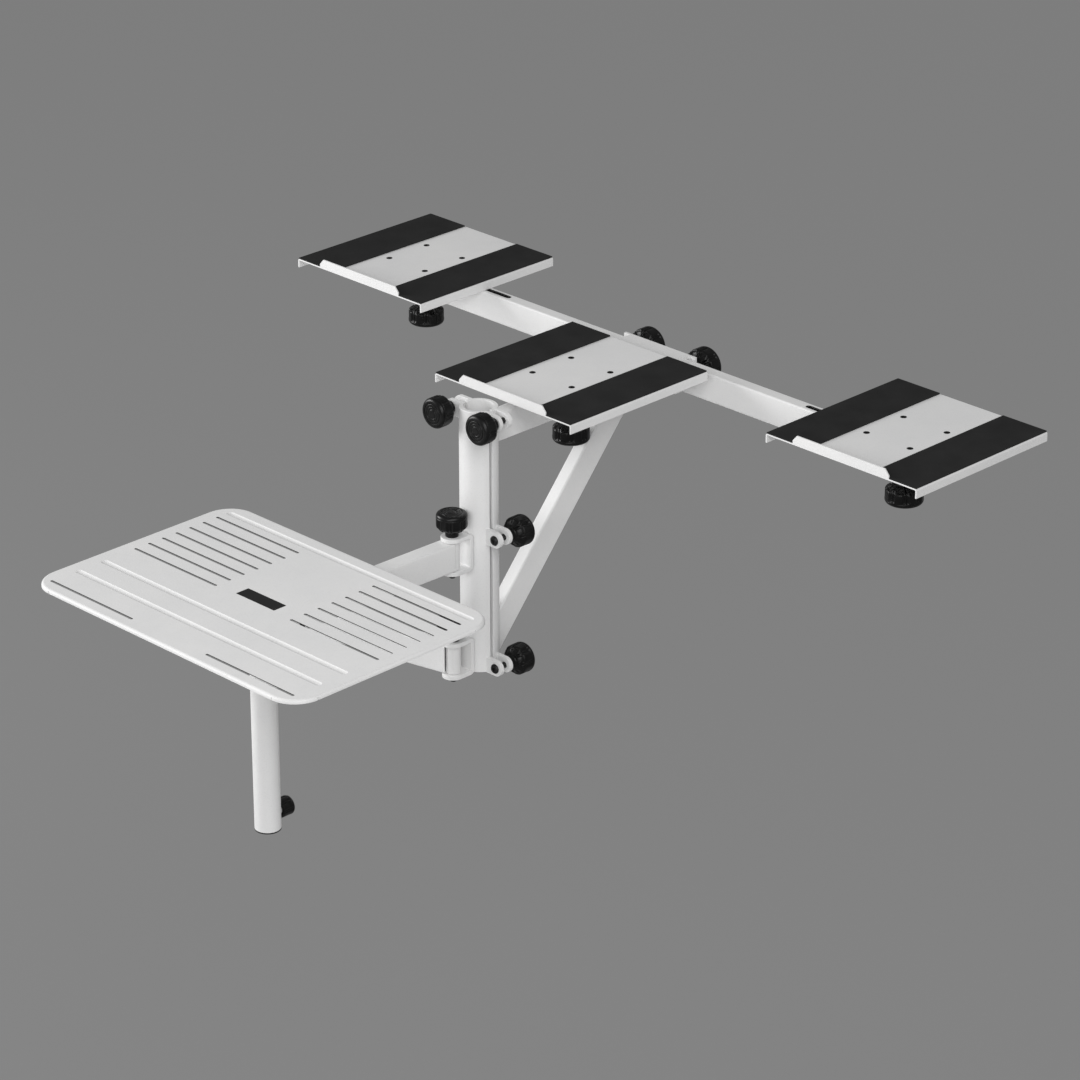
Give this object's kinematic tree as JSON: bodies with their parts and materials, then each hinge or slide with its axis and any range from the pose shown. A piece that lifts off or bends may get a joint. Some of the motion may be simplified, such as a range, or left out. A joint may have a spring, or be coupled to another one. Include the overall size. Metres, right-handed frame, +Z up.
{
  "type": "pole-clamp studio desk with swing-arm laptop tray and crossbar trays",
  "caption": "Light grey steel desk rig that clamps on a stand pole, with a slotted laptop tray on a swinging arm and a crossbar carrying small padded trays.",
  "frame": {"origin": "on the pole clamp's axis at the clamp's lower end", "axes": "+X along the crossbar to the right as the user faces the laptop tray's front edge from -Y, +Y to the rear, +Z up the pole"},
  "size_m": [1.1482, 1.0067, 0.4943],
  "materials": {
    "white_paint": "fine light grey-white powder coat",
    "black_plastic": "black moulded plastic, satin",
    "black_steel": "black oxide steel",
    "pad_rubber": "matt ribbed rubber"
  },
  "bodies": {
    "rear_frame": {"back_shell": "white_paint", "support_arm": "white_paint", "brace": "white_paint", "crossbar_receiver": "white_paint", "top_clamp_bolts": "black_steel", "middle_tray_bolt": "black_steel"},
    "front_half": {"front_shell": "white_paint", "upper_hinge_bracket": "white_paint", "lower_hinge_bracket": "white_paint", "front_clamp_bolts": "black_steel", "upper_pivot_stud": "black_steel", "lower_pivot_stud": "black_steel"},
    "upper_swing_arm": {"upper_arm": "white_paint", "upper_bushing": "white_paint", "post_stub": "white_paint", "stub_bolts": "black_steel", "post_tube": "white_paint", "post_plug": "black_plastic"},
    "laptop_top": {"inner_post": "black_steel", "laptop_tray": "white_paint", "laptop_hub": "white_paint", "hub_nuts": "black_steel", "laptop_badge": "black_plastic"},
    "lower_swing_arm": {"lower_arm": "white_paint", "lower_bushing": "white_paint", "lower_arm_plug": "black_plastic"},
    "crossbar_beam": {"crossbar": "white_paint", "crossbar_plug_left": "black_plastic", "crossbar_plug_right": "black_plastic"},
    "left_carriage": {"left_tray_bolt": "black_steel"},
    "right_carriage": {"right_tray_bolt": "black_steel"},
    "left_shelf": {"left_tray": "white_paint", "left_tray_pads": "pad_rubber", "left_tray_mount": "white_paint", "left_tray_screws": "black_steel"},
    "middle_shelf": {"middle_tray": "white_paint", "middle_tray_pads": "pad_rubber", "middle_tray_mount": "white_paint", "middle_tray_screws": "black_steel"},
    "right_shelf": {"right_tray": "white_paint", "right_tray_pads": "pad_rubber", "right_tray_mount": "white_paint", "right_tray_screws": "black_steel"},
    "clamp_knob_low_left_turning": {"clamp_knob_low_left": "black_plastic"},
    "clamp_knob_low_right_turning": {"clamp_knob_low_right": "black_plastic"},
    "clamp_knob_mid_left_turning": {"clamp_knob_mid_left": "black_plastic"},
    "clamp_knob_mid_right_turning": {"clamp_knob_mid_right": "black_plastic"},
    "clamp_knob_top_left_turning": {"clamp_knob_top_left": "black_plastic"},
    "clamp_knob_top_right_turning": {"clamp_knob_top_right": "black_plastic"},
    "upper_pivot_knob_turning": {"upper_pivot_knob": "black_plastic"},
    "lower_pivot_knob_turning": {"lower_pivot_knob": "black_plastic"},
    "receiver_knob_left_turning": {"receiver_knob_left": "black_plastic"},
    "receiver_knob_right_turning": {"receiver_knob_right": "black_plastic"},
    "left_tray_knob_turning": {"left_tray_knob": "black_plastic"},
    "middle_tray_knob_turning": {"middle_tray_knob": "black_plastic"},
    "right_tray_knob_turning": {"right_tray_knob": "black_plastic"},
    "post_thumb_knob_turning": {"post_thumb_knob": "black_plastic"}
  },
  "joints": [
    {"name": "clamp_open", "type": "slide", "parent": "rear_frame", "child": "front_half", "axis": [0, -1, 0], "range_m": [0, 0.004]},
    {"name": "upper_arm_swing", "type": "hinge", "parent": "front_half", "child": "upper_swing_arm", "pos_m": [0, -0.05, 0.1781], "axis": [0, 0, 1], "range_deg": [-76, 78]},
    {"name": "laptop_tray_swivel", "type": "hinge", "parent": "upper_swing_arm", "child": "laptop_top", "pos_m": [-0.00952, -0.37446, 0.2074], "axis": [0, 0, 1], "continuous": true},
    {"name": "lower_arm_swing", "type": "hinge", "parent": "front_half", "child": "lower_swing_arm", "pos_m": [0, -0.05, 0.0266], "axis": [0, 0, 1], "range_deg": [-24, 179]},
    {"name": "crossbar_slide", "type": "slide", "parent": "rear_frame", "child": "crossbar_beam", "axis": [1, 0, 0], "range_m": [-0.12, 0.12]},
    {"name": "left_tray_slide", "type": "slide", "parent": "crossbar_beam", "child": "left_carriage", "axis": [-1, 0, 0], "range_m": [-0.164, 0.025]},
    {"name": "right_tray_slide", "type": "slide", "parent": "crossbar_beam", "child": "right_carriage", "axis": [-1, 0, 0], "range_m": [-0.025, 0.164]},
    {"name": "left_tray_swivel", "type": "hinge", "parent": "left_carriage", "child": "left_shelf", "pos_m": [-0.4476, 0.331, 0.36], "axis": [0, 0, 1], "continuous": true},
    {"name": "right_tray_swivel", "type": "hinge", "parent": "right_carriage", "child": "right_shelf", "pos_m": [0.4476, 0.331, 0.36], "axis": [0, 0, 1], "continuous": true},
    {"name": "middle_tray_swivel", "type": "hinge", "parent": "rear_frame", "child": "middle_shelf", "pos_m": [0, 0.172, 0.36], "axis": [0, 0, 1], "range_deg": [-18, 18]},
    {"name": "clamp_knob_low_left_turn", "type": "hinge", "parent": "rear_frame", "child": "clamp_knob_low_left_turning", "pos_m": [-0.0404, 0.0114, 0.011], "axis": [0, 1, 0], "continuous": true},
    {"name": "clamp_knob_low_right_turn", "type": "hinge", "parent": "rear_frame", "child": "clamp_knob_low_right_turning", "pos_m": [0.0404, 0.0114, 0.011], "axis": [0, 1, 0], "continuous": true},
    {"name": "clamp_knob_mid_left_turn", "type": "hinge", "parent": "rear_frame", "child": "clamp_knob_mid_left_turning", "pos_m": [-0.0404, 0.0114, 0.198], "axis": [0, 1, 0], "continuous": true},
    {"name": "clamp_knob_mid_right_turn", "type": "hinge", "parent": "rear_frame", "child": "clamp_knob_mid_right_turning", "pos_m": [0.0404, 0.0114, 0.198], "axis": [0, 1, 0], "continuous": true},
    {"name": "clamp_knob_top_left_turn", "type": "hinge", "parent": "front_half", "child": "clamp_knob_top_left_turning", "pos_m": [-0.0404, -0.0114, 0.364], "axis": [0, -1, 0], "continuous": true},
    {"name": "clamp_knob_top_right_turn", "type": "hinge", "parent": "front_half", "child": "clamp_knob_top_right_turning", "pos_m": [0.0404, -0.0114, 0.364], "axis": [0, -1, 0], "continuous": true},
    {"name": "upper_pivot_knob_turn", "type": "hinge", "parent": "front_half", "child": "upper_pivot_knob_turning", "pos_m": [0, -0.05, 0.2047], "axis": [0, 0, 1], "continuous": true},
    {"name": "lower_pivot_knob_turn", "type": "hinge", "parent": "front_half", "child": "lower_pivot_knob_turning", "pos_m": [0, -0.05, 0.0532], "axis": [0, 0, 1], "continuous": true},
    {"name": "receiver_knob_left_turn", "type": "hinge", "parent": "rear_frame", "child": "receiver_knob_left_turning", "pos_m": [-0.052, 0.3453, 0.338], "axis": [0, 1, 0], "continuous": true},
    {"name": "receiver_knob_right_turn", "type": "hinge", "parent": "rear_frame", "child": "receiver_knob_right_turning", "pos_m": [0.052, 0.3453, 0.338], "axis": [0, 1, 0], "continuous": true},
    {"name": "left_tray_knob_turn", "type": "hinge", "parent": "left_carriage", "child": "left_tray_knob_turning", "pos_m": [-0.4476, 0.331, 0.314], "axis": [0, 0, -1], "continuous": true},
    {"name": "middle_tray_knob_turn", "type": "hinge", "parent": "rear_frame", "child": "middle_tray_knob_turning", "pos_m": [0, 0.172, 0.314], "axis": [0, 0, -1], "continuous": true},
    {"name": "right_tray_knob_turn", "type": "hinge", "parent": "right_carriage", "child": "right_tray_knob_turning", "pos_m": [0.4476, 0.331, 0.314], "axis": [0, 0, -1], "continuous": true},
    {"name": "post_thumb_knob_turn", "type": "hinge", "parent": "upper_swing_arm", "child": "post_thumb_knob_turning", "pos_m": [-0.00952, -0.35396, -0.0878], "axis": [0, 1, 0], "continuous": true}
  ]
}
